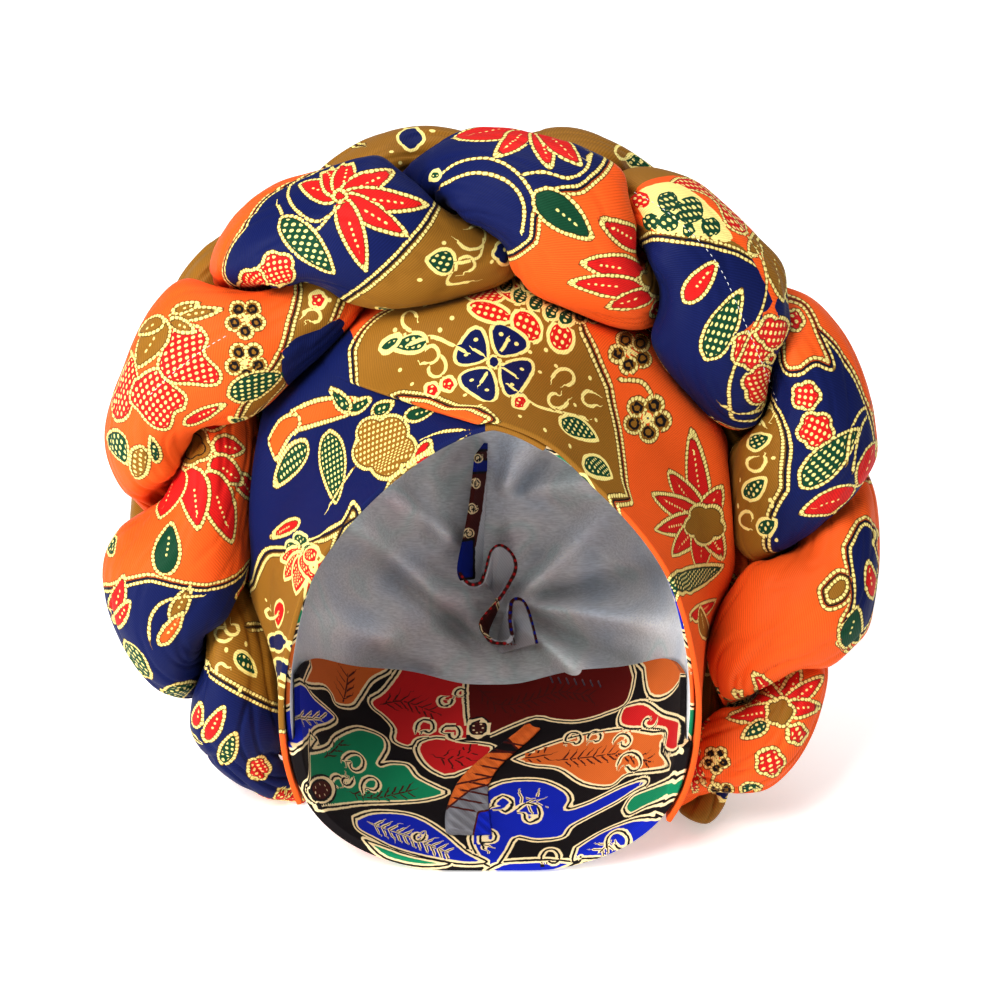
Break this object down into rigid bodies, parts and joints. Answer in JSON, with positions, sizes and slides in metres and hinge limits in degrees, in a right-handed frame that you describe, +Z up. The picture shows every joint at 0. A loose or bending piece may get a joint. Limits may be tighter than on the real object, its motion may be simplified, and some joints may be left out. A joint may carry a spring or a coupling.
{
  "type": "turban cap",
  "caption": "Soft turban cap in two printed cottons, with crossed front bands and a padded three-strand plait round the front, lying on the back of its crown",
  "frame": {"origin": "under the middle of the cap's box, on the surface that it lies on", "axes": "+Z up, the head opening faces -Y with its forehead edge up, the crown is towards +Y, the wearer's sides are along X"},
  "size_m": [0.2864, 0.1708, 0.2626],
  "materials": {
    "bright_print": "soft satin twill cotton, wax-resist print in orange, navy, ochre, red and green with cream dotted outlines",
    "dark_print": "matt cotton, wax-resist print of red, blue, green and orange leaves with cream outlines on black",
    "lining": "matt greyish-white wrong side of printed cotton, with the print showing faintly through"
  },
  "bodies": {
    "root": {"crown": "dark_print", "crown_seam_frill": "lining", "nape_facing": "dark_print", "nape_gather": "dark_print", "band_left": "bright_print", "band_right": "bright_print", "strand_1": "bright_print", "strand_2": "bright_print", "strand_3": "bright_print"}
  },
  "joints": []
}
